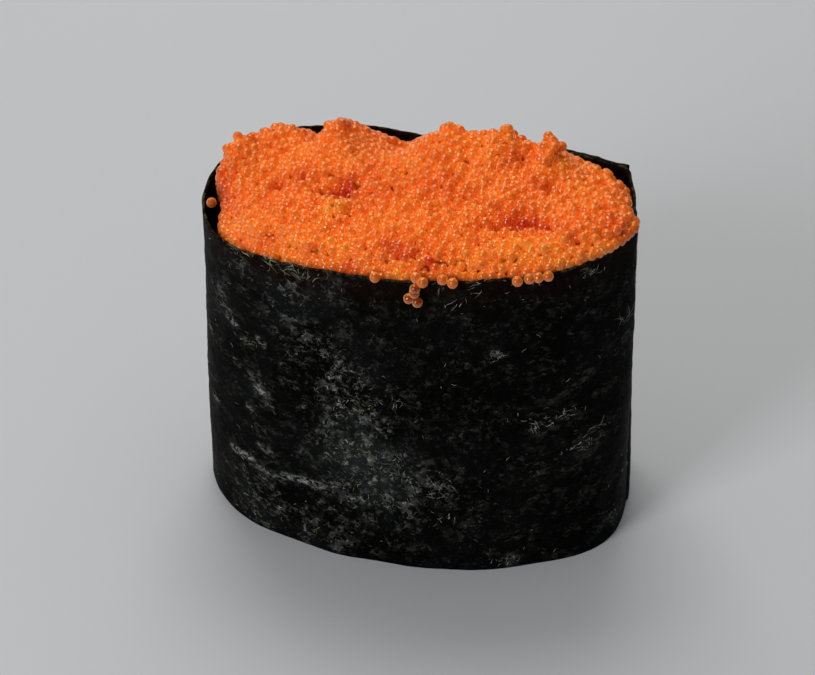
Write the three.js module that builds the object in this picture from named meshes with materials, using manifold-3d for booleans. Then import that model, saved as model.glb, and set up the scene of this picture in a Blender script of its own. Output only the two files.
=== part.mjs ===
// A piece of gunkan sushi: a strip of nori wrapped round a ball of rice, with
// tobiko roe heaped on top. Millimetres, +Z up, standing on the nori's lower
// edge, long axis along X, the side facing -Y is the front.
import * as THREE from 'three';
import Module from 'manifold-3d';

// ---------------------------------------------------------------- dimensions
const STRIP_HEIGHT = 38;      // a 190 mm nori sheet cut into five strips
const HALF_LENGTH = 23.5;     // outside of the wrap at the rim
const HALF_WIDTH = 15.4;
const OVAL_POWER = 2.38;      // 2 is an ellipse, more is boxier
const FOOT_SPREAD = 0.035;    // the foot is this share wider than the rim
const FOOT_SHIFT = [0.3, 0.1]; // the wall leans: the foot lies this far over
const NORI_THICK = 0.5;
const GAP = 0.3;              // clearance between nodes

const RICE_TOP = 28.6;        // the rice fills three quarters of the wrap
const GRAIN = [2.8, 1.3, 1.15]; // half length, half width, half thickness
const GRAIN_PITCH = 4.3;
const GRAIN_HEIGHT = 0.82;    // centre of the lowest grains above the floor

const BEAD = 1.2;             // diameter of one egg
const BEAD_PITCH = 1.25;      // from one egg to the next in the heap
const BEAD_RISE = 0.34;       // an egg's crown above the heap's mean surface
const BEAD_SINK = 0.26;       // the pits between eggs below it
const ROE_CROWN = 41.3;       // the heap's mean surface at mid-length

const WRAP_COLUMNS = 94;
const WRAP_ROWS = 6;
const TAU = Math.PI * 2;

// ------------------------------------------------------------------- helpers
// Seeded random numbers, so that every build is the same.
function seededRandom(seed) {
  let state = seed >>> 0;
  return () => {
    state = (state + 0x6d2b79f5) >>> 0;
    let mixed = Math.imul(state ^ (state >>> 15), 1 | state);
    mixed = (mixed + Math.imul(mixed ^ (mixed >>> 7), 61 | mixed)) ^ mixed;
    return ((mixed ^ (mixed >>> 14)) >>> 0) / 4294967296;
  };
}

function smooth(low, high, value) {
  const share = Math.min(Math.max((value - low) / (high - low), 0), 1);
  return share * share * (3 - 2 * share);
}

// A rounded step of height 1 at one place round the oval.
function bump(angle, centre, reach) {
  const turn = (angle - centre + Math.PI) / TAU;
  const off = (turn - Math.floor(turn)) * TAU - Math.PI;
  return Math.exp(-((off / reach) ** 2));
}

// The right end is squared off at the rim: angle, reach in radians, outwards.
const RIM_CORNERS = [
  [-0.52, 0.14, -0.3],
  [-0.15, 0.11, 0.65],
  [0.05, 0.13, -0.42],
  [0.4, 0.1, 0.6],
];
const TIP = [0.4, 0.08, 0.45]; // the strip's outer corner stands a little up

// The oval in plan, a little uneven as a hand-wrapped strip is. Level is 0 at
// the foot and 1 at the rim.
function ovalRadius(angle, level = 1) {
  const along = Math.abs(Math.cos(angle) / HALF_LENGTH) ** OVAL_POWER;
  const across = Math.abs(Math.sin(angle) / HALF_WIDTH) ** OVAL_POWER;
  const uneven = 1 - 0.004 * Math.cos(3 * angle) + 0.009 * Math.sin(3 * angle)
    - 0.0012 * Math.cos(5 * angle) - 0.0099 * Math.sin(5 * angle);
  const corners = RIM_CORNERS.reduce((sum, [centre, reach, out]) => (
    sum + out * bump(angle, centre, reach)
  ), 0);
  return uneven / (along + across) ** (1 / OVAL_POWER) + corners * level;
}

function tipHeight(angle) {
  return TIP[2] * bump(angle, TIP[0], TIP[1]);
}

// The rim dips at the back and stands highest at the right end.
function rimHeight(angle) {
  return STRIP_HEIGHT + tipHeight(angle) + 0.73 * Math.cos(angle) - 0.58 * Math.sin(angle)
    + 0.46 * Math.cos(2 * angle) - 0.43 * Math.sin(2 * angle)
    + 0.3 * Math.cos(3 * angle) + 0.3 * Math.sin(3 * angle);
}

// A point on the wrap: angle round it, height from 0 at the foot to 1 at the
// rim, and depth inwards from its outer face.
function wallPoint(angle, level, depth) {
  const step = 0.01;
  const here = ovalRadius(angle, level);
  const before = ovalRadius(angle - step, level);
  const after = ovalRadius(angle + step, level);
  const alongX = after * Math.cos(angle + step) - before * Math.cos(angle - step);
  const alongY = after * Math.sin(angle + step) - before * Math.sin(angle - step);
  const length = Math.hypot(alongX, alongY);
  const spread = 1 + FOOT_SPREAD * (1 - level);
  return new THREE.Vector3(
    here * Math.cos(angle) * spread + FOOT_SHIFT[0] * (1 - level) - depth * alongY / length,
    here * Math.sin(angle) * spread + FOOT_SHIFT[1] * (1 - level) + depth * alongX / length,
    level * rimHeight(angle),
  );
}

// Angles that step round the rim by equal lengths.
function evenAngles(count) {
  const fine = 2000;
  const travelled = [0];
  for (let i = 1; i <= fine; i++) {
    const from = wallPoint(TAU * (i - 1) / fine, 1, 0);
    const to = wallPoint(TAU * i / fine, 1, 0);
    travelled.push(travelled[i - 1] + Math.hypot(to.x - from.x, to.y - from.y));
  }
  const angles = [];
  let i = 0;
  for (let k = 0; k < count; k++) {
    const wanted = travelled[fine] * k / count;
    while (travelled[i + 1] < wanted) i++;
    const share = (wanted - travelled[i]) / (travelled[i + 1] - travelled[i]);
    angles.push(TAU * (i + share) / fine);
  }
  return angles;
}

// A closed body from rings of points: each ring joins the next one.
function ringBody(rings, closeRound) {
  const count = rings[0].length;
  const positions = rings.flat().flatMap((point) => [point.x, point.y, point.z]);
  const index = [];
  const bands = closeRound ? rings.length : rings.length - 1;
  for (let band = 0; band < bands; band++) {
    const low = band * count;
    const high = ((band + 1) % rings.length) * count;
    for (let k = 0; k < count; k++) {
      const next = (k + 1) % count;
      index.push(low + k, low + next, high + next, low + k, high + next, high + k);
    }
  }
  if (!closeRound) {
    const lastRing = (rings.length - 1) * count;
    for (const [start, upward] of [[0, false], [lastRing, true]]) {
      const centre = new THREE.Vector3();
      const ring = rings[start / count];
      ring.forEach((point) => centre.addScaledVector(point, 1 / count));
      positions.push(centre.x, centre.y, centre.z);
      const hub = positions.length / 3 - 1;
      for (let k = 0; k < count; k++) {
        const next = (k + 1) % count;
        if (upward) index.push(hub, start + k, start + next);
        else index.push(hub, start + next, start + k);
      }
    }
  }
  const geometry = new THREE.BufferGeometry();
  geometry.setAttribute('position', new THREE.Float32BufferAttribute(positions, 3));
  geometry.setIndex(index);
  return geometry;
}

const wasm = await Module();
wasm.setup();

function solidOf(geometry) {
  const positions = geometry.getAttribute('position');
  const mesh = new wasm.Mesh({
    numProp: 3,
    vertProperties: new Float32Array(positions.array),
    triVerts: new Uint32Array(geometry.getIndex().array),
  });
  return new wasm.Manifold(mesh);
}

function geometryOf(solid) {
  const mesh = solid.getMesh();
  const geometry = new THREE.BufferGeometry();
  geometry.setAttribute('position', new THREE.BufferAttribute(mesh.vertProperties, 3));
  geometry.setIndex(new THREE.BufferAttribute(mesh.triVerts, 1));
  return geometry;
}

function namedMesh(name, geometry, color, roughness) {
  geometry.computeVertexNormals();
  const material = new THREE.MeshStandardMaterial({ color, roughness, metalness: 0 });
  const mesh = new THREE.Mesh(geometry, material);
  mesh.name = name;
  return mesh;
}

// An egg or grain: a ball with few sides, its poles along X, stretched.
function ball(radii, sides, bands) {
  const geometry = new THREE.SphereGeometry(1, sides, bands);
  geometry.rotateZ(Math.PI / 2);
  geometry.scale(...radii);
  const merged = [];
  const index = [];
  const seen = new Map();
  const positions = geometry.getAttribute('position');
  const corners = geometry.getIndex().array.map((corner) => {
    const point = [positions.getX(corner), positions.getY(corner), positions.getZ(corner)];
    const key = point.map((value) => Math.round(value * 1e5)).join();
    if (!seen.has(key)) {
      seen.set(key, seen.size);
      merged.push(...point);
    }
    return seen.get(key);
  });
  for (let k = 0; k < corners.length; k += 3) {
    const [a, b, c] = corners.slice(k, k + 3);
    if (a !== b && b !== c && c !== a) index.push(a, b, c);
  }
  const clean = new THREE.BufferGeometry();
  clean.setAttribute('position', new THREE.Float32BufferAttribute(merged, 3));
  clean.setIndex(index);
  return solidOf(clean);
}

// ----------------------------------------------------------------- nori wrap
// The strip laps over itself at the back. Over the lap the wall is two layers
// thick: a sharp step where the outer end stops, a soft one over the inner end.
const LAP_START = 0.42;       // angle of the outer end's edge
const LAP_WIDTH = 0.62;       // angle that the lap covers
const LAP_EDGE = 0.008;       // angle that the sharp step takes

function lapLift(angle) {
  if (angle < LAP_START) return 0;
  const innerEnd = LAP_START + LAP_WIDTH;
  return NORI_THICK * 0.8 * (1 - smooth(innerEnd, innerEnd + 0.12, angle));
}

// Broad waves that the damp strip has settled into.
function ripple(angle, level) {
  const around = angle * 20;
  return 0.12 * Math.sin(around / 3.1 + 2.2 * level)
    + 0.09 * Math.sin(around / 1.7 - 5 * level + 1.3)
    + 0.07 * Math.sin(around / 2.3 + 8 * level + 0.4) * (1 - level);
}

function noriWrap() {
  const random = seededRandom(38);
  const angles = evenAngles(WRAP_COLUMNS);
  angles.push(LAP_START - LAP_EDGE, LAP_START);
  angles.sort((a, b) => a - b);
  const ragged = angles.map(() => 0.32 * (random() - 0.5));
  const point = (k, level, depth) => {
    const wall = wallPoint(angles[k], level, depth - ripple(angles[k], level));
    wall.z += ragged[k] * smooth(0.9, 1, level);
    return wall;
  };
  const rings = [];
  for (let row = 0; row <= WRAP_ROWS; row++) {
    const level = row / WRAP_ROWS;
    rings.push(angles.map((angle, k) => point(k, level, -lapLift(angle))));
  }
  for (let row = WRAP_ROWS; row >= 0; row--) {
    const level = row / WRAP_ROWS;
    rings.push(angles.map((angle, k) => point(k, level, NORI_THICK)));
  }
  return namedMesh('nori_wrap', ringBody(rings, true), 0x14180f, 0.38);
}

// ------------------------------------------------------------------ rice bed
// Rings that follow the inside of the wrap, a clearance away from it.
function liningRing(angles, height) {
  return angles.map((angle) => {
    const level = height / rimHeight(angle);
    const depth = NORI_THICK + GAP - ripple(angle, level);
    const wall = wallPoint(angle, level, depth);
    wall.z = height;
    return wall;
  });
}

function riceBed() {
  const random = seededRandom(5);
  const angles = evenAngles(56);
  const body = (heights) => (
    solidOf(ringBody(heights.map((height) => liningRing(angles, height)), false))
  );
  const core = body([GRAIN_HEIGHT, 9, 19, RICE_TOP]);
  const grains = [];
  const columns = Math.ceil(HALF_LENGTH / GRAIN_PITCH) + 1;
  const rows = Math.ceil(HALF_WIDTH / GRAIN_PITCH) + 1;
  for (let row = -rows; row <= rows; row++) {
    for (let column = -columns; column <= columns; column++) {
      const x = (column + (row % 2) / 2 + 0.4 * (random() - 0.5)) * GRAIN_PITCH;
      const y = (row * 0.8 + 0.4 * (random() - 0.5)) * GRAIN_PITCH + FOOT_SHIFT[1];
      const turn = random() * 180;
      const lift = random() * 0.5;
      if (Math.hypot(x / HALF_LENGTH, (y - FOOT_SHIFT[1]) / HALF_WIDTH) < 1) {
        grains.push(ball(GRAIN, 6, 3).rotate([0, 0, turn])
          .translate([x, y, GRAIN_HEIGHT + lift]));
      }
    }
  }
  const fused = grains.reduce((heap, grain) => heap.add(grain), core);
  const pressed = fused.intersect(body([0, 9, 19, RICE_TOP]));
  return namedMesh('rice_bed', geometryOf(pressed), 0xf2ecdb, 0.5);
}

// ------------------------------------------------------------------ roe heap
// Swells and hollows of the heap: x, y, reach along X, reach along Y, height.
const SWELLS = [
  [-21.65, 1.03, 2.6, 4.0, 5.65],
  [-17.66, 6.2, 2.4, 4.0, 2.17],
  [-10.2, 6.4, 2.0, 4.2, 1.9],
  [-7.0, 6.6, 2.0, 4.2, -1.1],
  [-4.0, 8.0, 2.2, 4.6, -2.4],
  [1.8, 7.2, 1.8, 4.0, 1.9],
  [5.0, 7.2, 2.0, 4.0, 1.0],
  [8.2, 7.0, 2.0, 4.0, 2.5],
  [13.06, 6.4, 1.8, 3.4, 2.88],
  [-8.0, -6.6, 1.7, 1.1, 1.1],
  [-8.8, -3.0, 2.6, 1.2, -1.7],
  [-6.0, -3.4, 1.6, 1.0, -1.1],
  [9.9, -6.6, 1.9, 0.8, -1.4],
  [13.2, -5.6, 1.7, 0.8, -1.4],
  [-14.8, -3.1, 0.7, 0.7, -1.3],
  [-13.2, -11.6, 0.8, 0.7, -1.0],
  [0.0, -12.8, 0.8, 0.6, -1.0],
  [3.0, -13.0, 0.7, 0.6, -0.9],
  [14.4, 0.7, 0.7, 0.7, -1.1],
  [20.4, -2.6, 0.8, 0.8, -1.0],
  [-13.3, 8.6, 0.8, 3.4, -1.9],
  [-4.1, 12.2, 0.8, 2.2, -2.0],
  [-6.6, 12.6, 1.6, 2.0, -1.2],
  [16.4, 8.8, 2.2, 2.2, -0.6],
  [11.4, 5.5, 0.6, 2.4, -1.0],
];
const HOLLOW_ANGLE = 3.32;    // left end, where the roe has drawn back
// Where the roe has drawn back from the wall: angle, reach, distance.
const DRAWN_BACK = [[HOLLOW_ANGLE, 0.17, 1.7], [0.42, 0.11, 0.6]];
const RIGHT_END = [-0.15, 0.38, 1.4]; // where it is heaped higher on the brim

// How far the heap's edge lies in from the wall.
function drawnBack(angle) {
  return DRAWN_BACK.reduce((sum, [centre, reach, back]) => (
    sum + back * bump(angle, centre, reach)
  ), GAP);
}

function heapHeight(x, y) {
  const angle = (Math.atan2(y, x) + TAU) % TAU;
  const reach = ovalRadius(angle) - NORI_THICK - GAP;
  const share = Math.min(Math.hypot(x, y) / reach, 1);
  const middle = ROE_CROWN + 0.147 * y * (1 - share ** 2);
  const atBack = smooth(-0.35, 0.35, Math.sin(angle)) * smooth(-0.98, -0.8, Math.cos(angle));
  const brim = rimHeight(angle) - tipHeight(angle) + 1.1 - 1.3 * atBack;
  const dome = middle + (brim - middle) * share ** 3.1;
  const edge = -0.9 * smooth(0.92, 1, share);
  const rightEnd = RIGHT_END[2] * bump(angle, RIGHT_END[0], RIGHT_END[1]) * share ** 4;
  const hollow = 1.5 * bump(angle, HOLLOW_ANGLE, 0.16) * smooth(0.8, 1, share);
  const swell = SWELLS.reduce((sum, [cx, cy, wide, deep, high]) => (
    sum + high * Math.exp(-(((x - cx) / wide) ** 2) - ((y - cy) / deep) ** 2)
  ), 0);
  return dome + edge + rightEnd + swell * (1 - share ** 10) - hollow;
}

// A slab whose top is a bed of eggs: a hexagonal lattice of crowns, each with
// six shared pits round it, pushed about a little at random.
function eggSlab() {
  const random = seededRandom(12);
  const columns = Math.ceil(HALF_LENGTH / BEAD_PITCH) + 2;
  const pitchY = BEAD_PITCH * Math.sqrt(3) / 2;
  const rows = Math.ceil(HALF_WIDTH / pitchY) + 2;
  const points = [];
  const index = [];
  const edges = new Map();
  const add = (x, y, z) => points.push([x, y, z]) - 1;
  const triangle = (a, b, c) => {
    index.push(a, b, c);
    for (const [from, to] of [[a, b], [b, c], [c, a]]) edges.set(`${from},${to}`, [from, to]);
  };
  const crowns = new Map();
  for (let row = -rows; row <= rows; row++) {
    for (let column = -columns; column <= columns; column++) {
      const x = (column + (Math.abs(row) % 2) / 2 + 0.24 * (random() - 0.5)) * BEAD_PITCH;
      const y = (row + 0.24 * (random() - 0.5)) * pitchY;
      const rise = BEAD_RISE + 0.28 * (random() - 0.5);
      crowns.set(`${row},${column}`, add(x, y, heapHeight(x, y) + rise));
    }
  }
  const pits = new Map();
  const pitBetween = (corners) => {
    const key = [...corners].sort((a, b) => a - b).join();
    if (!pits.has(key)) {
      const x = corners.reduce((sum, corner) => sum + points[corner][0] / 3, 0);
      const y = corners.reduce((sum, corner) => sum + points[corner][1] / 3, 0);
      pits.set(key, add(x, y, heapHeight(x, y) - BEAD_SINK));
    }
    return pits.get(key);
  };
  for (let row = 1 - rows; row < rows; row++) {
    for (let column = 1 - columns; column < columns; column++) {
      const shift = Math.abs(row) % 2;
      const around = [[0, 1], [1, shift], [1, shift - 1], [0, -1], [-1, shift - 1], [-1, shift]]
        .map(([up, right]) => crowns.get(`${row + up},${column + right}`));
      const crown = crowns.get(`${row},${column}`);
      const ring = around.map((next, k) => pitBetween([crown, next, around[(k + 1) % 6]]));
      ring.forEach((pit, k) => triangle(crown, pit, ring[(k + 1) % 6]));
    }
  }
  // The slab's sides and floor hang from its open border.
  const floor = RICE_TOP - 4;
  const twins = new Map();
  const below = (k) => {
    if (!twins.has(k)) twins.set(k, add(points[k][0], points[k][1], floor));
    return twins.get(k);
  };
  const hub = add(0, 0, floor);
  for (const [from, to] of [...edges.values()]) {
    if (edges.has(`${to},${from}`)) continue;
    index.push(from, below(to), to, from, below(from), below(to));
    index.push(hub, below(to), below(from));
  }
  const geometry = new THREE.BufferGeometry();
  geometry.setAttribute('position', new THREE.Float32BufferAttribute(points.flat(), 3));
  geometry.setIndex(index);
  return solidOf(geometry);
}

// Eggs that stand out of the heap, each touching the next: over the rim, down
// the front, on the left inner wall. Angle, height above the rim, distance
// outwards from the wall.
const LOOSE_EGGS = [
  [4.615, 0.5, -1.1],
  [4.615, 0.85, -0.35],
  [4.615, 0.66, 0.46],
  [4.875, 0.5, -1.1],
  [4.88, 0.85, -0.2],
  [4.885, 0.45, 0.65],
  [4.881, -0.35, 0.9],
  [4.878, -1.15, 0.9],
  [4.838, -1.62, 0.9],
  [4.893, -2.05, 0.9],
  [4.925, 0.8, -0.25],
  [4.925, 0.46, 0.68],
  [5.046, 0.5, -1.1],
  [5.046, 0.85, -0.35],
  [5.046, 0.66, 0.46],
  [5.108, 0.5, -1.1],
  [5.108, 0.8, -0.25],
  [5.108, 0.44, 0.66],
  [5.461, 0.5, -1.1],
  [5.461, 0.8, -0.25],
  [5.461, 0.46, 0.66],
  [5.52, 0.5, -1.1],
  [5.52, 0.8, -0.25],
  [5.52, 0.46, 0.66],
  [5.563, 0.5, -1.1],
  [5.563, 0.8, -0.25],
  [5.563, 0.46, 0.66],
  [5.61, 0.5, -1.1],
  [5.61, 0.8, -0.25],
  [5.61, 0.46, 0.66],
  [3.335, -0.5, -2.0],
  [3.331, 0.25, -1.45],
];
const LOOSE_SIDES = 6;
const LOOSE_BANDS = 4;

function looseEgg([angle, above, outwards]) {
  const wall = wallPoint(angle, 1, -outwards - ripple(angle, 1));
  return ball([BEAD / 2, BEAD / 2, BEAD / 2], LOOSE_SIDES, LOOSE_BANDS)
    .translate([wall.x, wall.y, wall.z + above]);
}

function roeHeap() {
  const angles = evenAngles(84);
  const lining = (height) => angles.map((angle) => {
    const level = Math.min(height / rimHeight(angle), 1);
    const depth = NORI_THICK + drawnBack(angle) - ripple(angle, level);
    const wall = wallPoint(angle, level, depth);
    wall.z = height;
    return wall;
  });
  const plug = solidOf(ringBody([RICE_TOP + GAP, 34, 50].map(lining), false));
  const eggs = LOOSE_EGGS.map(looseEgg);
  const heap = eggs.reduce((body, egg) => body.add(egg), eggSlab().intersect(plug));
  return namedMesh('roe_heap', geometryOf(heap), 0xe2682a, 0.3);
}

// ------------------------------------------------------------------ assembly
const sushi = new THREE.Group();
sushi.name = 'gunkan_sushi';
sushi.add(noriWrap(), riceBed(), roeHeap());

// The origin lies on the floor under the middle of the whole.
const extent = new THREE.Box3().setFromObject(sushi);
const middle = extent.getCenter(new THREE.Vector3());
sushi.position.set(-middle.x, -middle.y, -extent.min.z);

export default sushi;
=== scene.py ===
# %% [markdown]
# # A piece of gunkan sushi
# A ball of rice stands upright in a tall band of nori, and small orange fish
# eggs are heaped on top of it. The solids of the three parts are already made
# and measured. This notebook dresses them: it gives the band its paper-thin
# wavy sheet and its fibres, the heap its loose eggs, and the underside its
# grains of rice, each to the same sizes as the solid that it stands for.

import bpy
import bmesh
import math
import numpy as np
from mathutils import Vector, Matrix, Quaternion, noise


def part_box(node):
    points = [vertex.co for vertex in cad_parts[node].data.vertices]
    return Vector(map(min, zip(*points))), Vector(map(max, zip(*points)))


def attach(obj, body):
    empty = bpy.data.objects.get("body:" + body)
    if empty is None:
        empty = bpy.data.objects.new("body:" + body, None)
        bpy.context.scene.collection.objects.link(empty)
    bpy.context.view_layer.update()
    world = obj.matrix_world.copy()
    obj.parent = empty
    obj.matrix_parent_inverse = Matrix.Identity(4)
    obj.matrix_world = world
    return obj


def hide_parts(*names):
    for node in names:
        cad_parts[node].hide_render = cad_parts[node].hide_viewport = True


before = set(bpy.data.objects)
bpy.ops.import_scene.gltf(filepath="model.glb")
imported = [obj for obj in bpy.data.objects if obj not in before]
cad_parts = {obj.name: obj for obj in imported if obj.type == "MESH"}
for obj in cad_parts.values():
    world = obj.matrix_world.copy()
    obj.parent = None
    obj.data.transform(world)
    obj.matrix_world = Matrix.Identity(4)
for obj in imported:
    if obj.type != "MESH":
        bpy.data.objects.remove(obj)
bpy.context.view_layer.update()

# %% [markdown]
# ## The oval and the rim
# A hand-wrapped band is never a true ellipse, so its plan is an ellipse made a
# little boxier, with a few slow waves in it. The rim rises and falls in the
# same way. Every part below takes its place from these few functions, so they
# always agree with each other. Sizes are in millimetres here and are turned
# into metres when a mesh is made.

# %% Plan and rim of the band
MM = 0.001
STRIP_HEIGHT = 38.0
HALF_LENGTH = 23.5
HALF_WIDTH = 15.4
OVAL_POWER = 2.38
# The foot is wider than the rim by this share, and its middle lies this far off.
FOOT_SPREAD = 0.035
FOOT_SHIFT = (0.3, 0.1)
TURN = 2 * math.pi
# Slow waves: how many go round the oval, their cosine share, their sine share.
OVAL_WAVES = [(3, -0.004, 0.009), (5, -0.0012, -0.0099)]
RIM_WAVES = [(1, 0.73, -0.58), (2, 0.46, -0.43), (3, 0.3, 0.3)]
# Steps round the rim: angle, reach in radians, size in mm. Steps outwards square
# off the right end, and a step upwards is the strip's outer corner, its tip.
RIM_CORNERS = [(-0.52, 0.14, -0.30), (-0.15, 0.11, 0.65), (0.05, 0.13, -0.42), (0.40, 0.10, 0.60)]
TIP = [(0.40, 0.08, 0.45)]


def waved(base, angle, waves):
    """A base value with slow waves round the oval added to it."""
    total = base
    for count, cosine, sine in waves:
        total = total + cosine * np.cos(count * angle)
        total = total + sine * np.sin(count * angle)
    return total


def mounds(angle, steps):
    """Rounded steps round the oval, each with an angle, a reach and a size."""
    total = 0
    for centre, reach, size in steps:
        off = (angle - centre + math.pi) % TURN - math.pi
        total = total + size * np.exp(-((off / reach) ** 2))
    return total


def smooth(low, high, value):
    """Rises from 0 at low to 1 at high without a corner."""
    share = np.clip((np.asarray(value, float) - low) / (high - low), 0, 1)
    return share * share * (3 - 2 * share)


def oval_radius(angle, level=1.0):
    """From the middle to the band's outer face, before its ripples."""
    along = np.abs(np.cos(angle) / HALF_LENGTH) ** OVAL_POWER
    across = np.abs(np.sin(angle) / HALF_WIDTH) ** OVAL_POWER
    oval = waved(1, angle, OVAL_WAVES) / (along + across) ** (1 / OVAL_POWER)
    return oval + mounds(angle, RIM_CORNERS) * level


def rim_height(angle):
    """How high the rim stands above the floor."""
    return waved(STRIP_HEIGHT, angle, RIM_WAVES) + mounds(angle, TIP)


rim = rim_height(np.linspace(0, TURN, 361))
print("rim stands", rim.min().round(1), "to", rim.max().round(1), "mm above the floor")

# %% The wall between foot and rim
# Ripples: height in mm, mm for each radian, radians up the wall, start. The one
# at the foot fades towards the rim.
RIPPLES = [(0.12, 3.1, 2.2, 0.0), (0.09, 1.7, -5.0, 1.3)]
FOOT_RIPPLE = (0.07, 2.3, 8.0, 0.4)
RIPPLE_RADIUS = 20
RING_POINTS = 721


def wave(angle, level, height, length, climb, start):
    """One ripple that runs slantwise over the wall."""
    return height * np.sin(angle * RIPPLE_RADIUS / length + climb * level + start)


def ripple(angle, level):
    """Broad waves that the damp strip has settled into."""
    broad = sum(wave(angle, level, *each) for each in RIPPLES)
    return broad + wave(angle, level, *FOOT_RIPPLE) * (1 - level)


def wall_point(angle, level, outwards):
    """Points off the band's outer face, level 0 at the foot and 1 at the rim."""
    angle, level, outwards = np.broadcast_arrays(
        *(np.asarray(value, float) for value in (angle, level, outwards)))
    wrapped = angle % TURN
    step = 0.01
    radius, before, after = (oval_radius(wrapped + turn, level) for turn in (0, -step, step))
    along_x = after * np.cos(wrapped + step) - before * np.cos(wrapped - step)
    along_y = after * np.sin(wrapped + step) - before * np.sin(wrapped - step)
    length = np.hypot(along_x, along_y)
    spread = 1 + FOOT_SPREAD * (1 - level)
    out = outwards + ripple(wrapped, level)
    return np.stack([
        radius * np.cos(wrapped) * spread + FOOT_SHIFT[0] * (1 - level) + out * along_y / length,
        radius * np.sin(wrapped) * spread + FOOT_SHIFT[1] * (1 - level) - out * along_x / length,
        level * rim_height(wrapped)], axis=-1)


# The solid's box says where the oval's own middle lies.
ring = wall_point(np.linspace(0, TURN, RING_POINTS), 0.0, 0.0)
low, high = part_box("nori_wrap")
ORIGIN = np.array([(low.x + high.x) / 2 / MM - (ring[:, 0].min() + ring[:, 0].max()) / 2,
                   low.y / MM - ring[:, 1].min(), 0.0])
print("oval at the foot", np.ptp(ring, axis=0)[:2].round(2), "mm; origin moved by", ORIGIN.round(3))


def placed(points):
    """Millimetres in the oval's own frame to metres in the part's frame."""
    return (np.asarray(points) + ORIGIN) * MM


# %% [markdown]
# ## A way to make meshes and finishes
# Blender keeps a shape in a mesh and puts it in the scene with an object. The
# two helpers below do that for a bmesh, which is the form that Blender's
# modelling operators work on. Each piece rides on the part's one body, and for
# each solid one of the pieces takes its place.

# %% Helpers for pieces
def keep_piece(name, bm, material, smooth_faces=True):
    """Turns a bmesh, which is used up, into a piece of the part."""
    mesh = bpy.data.meshes.new(name)
    bm.to_mesh(mesh)
    bm.free()
    return keep_mesh(name, mesh, material, smooth_faces)


def keep_mesh(name, mesh, material, smooth_faces=True):
    """Makes an object of a mesh, gives it its finish and says what it rides on."""
    mesh.materials.append(material)
    mesh.polygons.foreach_set("use_smooth", [smooth_faces] * len(mesh.polygons))
    piece = bpy.data.objects.new(name, mesh)
    bpy.context.collection.objects.link(piece)
    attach(piece, "root")
    mesh.calc_loop_triangles()
    print(name, len(mesh.loop_triangles), "triangles")
    return piece


print("pieces are made with keep_piece and keep_mesh")


# %% Helpers for finishes
def new_finish(name):
    """A new material, its node tree and its main shader."""
    material = bpy.data.materials.new(name)
    material.use_nodes = True
    tree = material.node_tree
    shader = tree.nodes["Principled BSDF"]
    return material, tree, shader


def add(tree, kind, settings=None, **inputs):
    """Adds a node, sets its inputs by name, and links those given as sockets."""
    node = tree.nodes.new(kind)
    for name, value in (settings or {}).items():
        setattr(node, name, value)
    for name, value in inputs.items():
        wanted = name.replace("_", " ")
        socket = node.inputs[int(name[1:])] if name[1:].isdigit() else next(
            s for s in node.inputs if s.name.lower() == wanted.lower())
        if isinstance(value, bpy.types.NodeSocket):
            tree.links.new(value, socket)
        else:
            socket.default_value = value
    return node


def ramp(tree, factor, stops):
    """A colour that runs through the stops, each a position and a colour."""
    node = tree.nodes.new("ShaderNodeValToRGB")
    tree.links.new(factor, node.inputs[0])
    points = node.color_ramp.elements
    while len(points) < len(stops):
        points.new(0.5)
    for point, (position, colour) in zip(points, stops):
        point.position = position
        point.color = (*colour, 1.0)
    return node.outputs["Color"]


def mixed(tree, share, under, colour):
    """The colour laid over what is under it, by the given share."""
    return add(tree, "ShaderNodeMix", {"data_type": "RGBA"},
               _0=share, _6=under, _7=(*colour, 1.0)).outputs[2]


print("finishes are made with new_finish, add, ramp and mixed")


# %% [markdown]
# ## The band of nori
# Nori is a sheet of chopped seaweed dried flat like paper. Here it is a strip
# that has been wrapped once round and laps over itself at the back right. The
# sheet starts as a flat grid. Each point is then carried to its place on the
# wall, with the fine pucker of the weed, a few creases and a ragged rim. Solidify
# gives the finished sheet its thickness, so both faces stay alike.

# %% Creases, the lap and noise on the strip
SHEET_THICK = 0.28
# Millimetres along the strip for each radian round the oval.
AROUND = 20.6
# The lap, in radians: where it starts, how wide it is and where it fades out. Its
# outer end stands off by the lift, and its very edge curls up a little more.
LAP_START = 0.42
LAP_WIDTH = 0.62
LAP_FADE = 0.12
LAP_LIFT = 0.4
CURL_WIDTH = 0.06
CURL_LIFT = 0.25
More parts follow.
